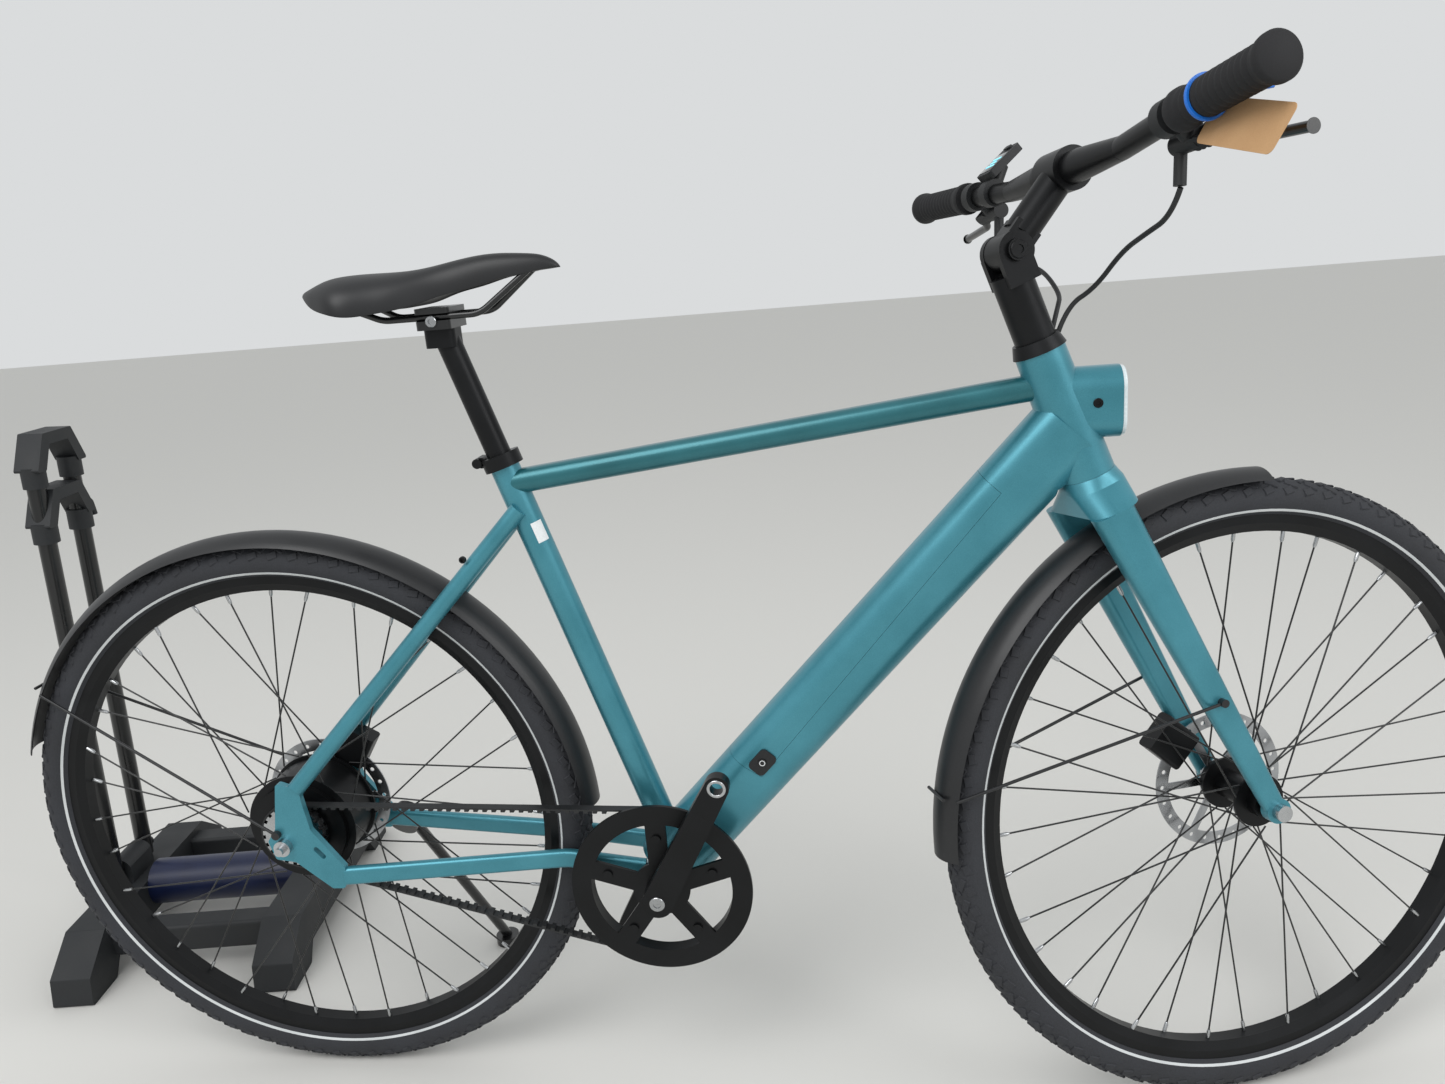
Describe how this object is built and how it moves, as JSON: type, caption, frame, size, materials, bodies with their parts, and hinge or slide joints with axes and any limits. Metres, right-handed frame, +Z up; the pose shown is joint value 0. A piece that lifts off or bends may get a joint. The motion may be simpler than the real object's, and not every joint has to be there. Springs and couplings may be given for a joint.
{
  "type": "bicycle with wheel stand",
  "caption": "Upright belt-drive electric city bicycle on its prop stand, with a folding floor stand for a wheel beside the rear wheel.",
  "frame": {"origin": "on the floor under the middle of the whole set's box", "axes": "+X forwards along the bicycle, +Y to its left, +Z up"},
  "size_m": [2.0143, 0.855, 1.1143],
  "materials": {
    "teal_paint": "satin metallic",
    "black_metal": "satin black",
    "black_plastic": "matt",
    "rubber": "matt",
    "tyre": "matt with a thin pale stripe",
    "steel": "brushed",
    "saddle_cover": "soft matt black",
    "lens": "clear",
    "belt": "matt",
    "navy": "satin navy",
    "screen": "gloss with a pale readout",
    "paper": "plain paper",
    "motor": "satin black",
    "black_steel": "satin black"
  },
  "bodies": {
    "frame": {"head_tube": "teal_paint", "top_tube": "teal_paint", "down_tube": "teal_paint", "seat_tube": "teal_paint", "bottom_bracket_shell": "teal_paint", "chain_stays": "teal_paint", "seat_stays": "teal_paint", "dropouts": "teal_paint", "headlight_lens": "lens", "frame_bearings": "steel", "seat_clamp": "black_metal", "rear_mudguard": "black_plastic", "rear_caliper": "black_metal", "rear_axle": "steel", "drive_belt": "belt", "prop_bracket": "black_metal"},
    "battery": {"battery_cover": "teal_paint", "battery_pack": "black_plastic", "latch_plate": "black_plastic"},
    "power_button": {"power_button": "black_plastic"},
    "seat": {"seatpost": "black_metal", "saddle_clamp": "black_metal", "saddle_rails": "black_steel", "saddle": "saddle_cover"},
    "steering": {"fork_crown": "teal_paint", "fork_blades": "teal_paint", "front_axle": "steel", "front_mudguard": "black_plastic", "front_caliper": "black_metal", "headset_cap": "black_metal", "stem_base": "black_metal"},
    "bars": {"stem_arm": "black_metal", "handlebar": "black_metal", "grips": "rubber", "lever_mounts": "black_metal", "display": "screen", "brake_hoses": "rubber", "hang_tag": "paper"},
    "display_button": {"display_button": "black_plastic"},
    "lever_left": {"brake_lever_left": "black_metal"},
    "lever_right": {"brake_lever_right": "black_metal"},
    "front_wheel": {"front_tyre": "tyre", "front_rim": "black_metal", "front_spokes": "black_steel", "front_hub": "black_metal", "front_disc": "steel"},
    "rear_wheel": {"rear_tyre": "tyre", "rear_rim": "black_metal", "rear_spokes": "black_steel", "hub_motor": "motor", "rear_disc": "steel"},
    "sprocket": {"rear_sprocket": "steel"},
    "cranks": {"cranks": "black_metal", "belt_ring": "black_metal"},
    "prop": {"prop_leg": "black_steel"},
    "stand": {"stand_base": "black_plastic", "stand_drum": "navy"},
    "stand_hoop": {"stand_hoop": "black_steel", "stand_handle": "black_plastic"},
    "stand_clamp": {"stand_clamp": "black_plastic"}
  },
  "joints": [
    {"name": "battery_swing", "type": "hinge", "parent": "frame", "child": "battery", "pos_m": [0.38238, -0.1376, 0.7455], "axis": [0, 1, 0], "range_deg": [0, 20]},
    {"name": "power_button_press", "type": "slide", "parent": "battery", "child": "power_button", "axis": [0, 1, 0], "range_m": [0, 0.0006], "stiffness_N_per_m": 800},
    {"name": "seat_height", "type": "slide", "parent": "frame", "child": "seat", "axis": [-0.2924, 0, 0.9563], "range_m": [-0.1, 0.06]},
    {"name": "steering", "type": "hinge", "parent": "frame", "child": "steering", "pos_m": [0.63529, -0.1376, 0.34347], "axis": [-0.3387, 0, 0.9409], "range_deg": [-69.5, 30.5]},
    {"name": "stem_angle", "type": "hinge", "parent": "steering", "child": "bars", "pos_m": [0.41548, -0.13593, 0.96793], "axis": [-0.3141, 0.9426, -0.1131], "range_deg": [-25, 25], "deforming": ["brake_hoses"]},
    {"name": "lever_left_pull", "type": "hinge", "parent": "bars", "child": "lever_left", "pos_m": [0.42174, 0.09766, 1.00528], "axis": [0.6401, 0.2982, 0.708], "range_deg": [0, 18], "stiffness_Nm_per_rad": 0.6},
    {"name": "lever_right_pull", "type": "hinge", "parent": "bars", "child": "lever_right", "pos_m": [0.55616, -0.30579, 1.05368], "axis": [-0.6401, -0.2982, -0.708], "range_deg": [0, 18], "stiffness_Nm_per_rad": 0.6, "deforming": ["hang_tag"]},
    {"name": "display_button_press", "type": "slide", "parent": "bars", "child": "display_button", "axis": [0.6208, 0.1138, -0.7757], "range_m": [0, 0.0006], "stiffness_N_per_m": 800},
    {"name": "front_wheel_spin", "type": "hinge", "parent": "steering", "child": "front_wheel", "pos_m": [0.6681, -0.12525, 0.35528], "axis": [-0.3141, 0.9426, -0.1131], "continuous": true},
    {"name": "rear_wheel_spin", "type": "hinge", "parent": "frame", "child": "rear_wheel", "pos_m": [-0.4409, -0.1376, 0.356], "axis": [0, 1, 0], "continuous": true},
    {"name": "crank_spin", "type": "hinge", "parent": "frame", "child": "cranks", "pos_m": [0.0041, -0.1376, 0.282], "axis": [0, 1, 0], "continuous": true},
    {"name": "sprocket_spin", "type": "hinge", "parent": "frame", "child": "sprocket", "pos_m": [-0.4409, -0.1376, 0.356], "axis": [0, 1, 0], "continuous": true},
    {"name": "prop_fold", "type": "hinge", "parent": "frame", "child": "prop", "pos_m": [-0.3629, -0.0456, 0.302], "axis": [0.1645, 0.8713, 0.4623], "range_deg": [0, 95]},
    {"name": "stand_pull_away", "type": "slide", "parent": "frame", "child": "stand", "axis": [-0.1132, 0.9936, 0], "range_m": [0, 0.3]},
    {"name": "hoop_fold", "type": "hinge", "parent": "stand", "child": "stand_hoop", "pos_m": [-0.96187, 0.16629, 0.108], "axis": [-0.1132, 0.9936, 0], "range_deg": [0, 84]},
    {"name": "stand_clamp_slide", "type": "slide", "parent": "stand_hoop", "child": "stand_clamp", "axis": [0.052, 0.0059, 0.9986], "range_m": [-0.35, 0]}
  ],
  "couplings": [
    {"joint": "sprocket_spin", "follows": "crank_spin", "ratio": 2.5}
  ]
}
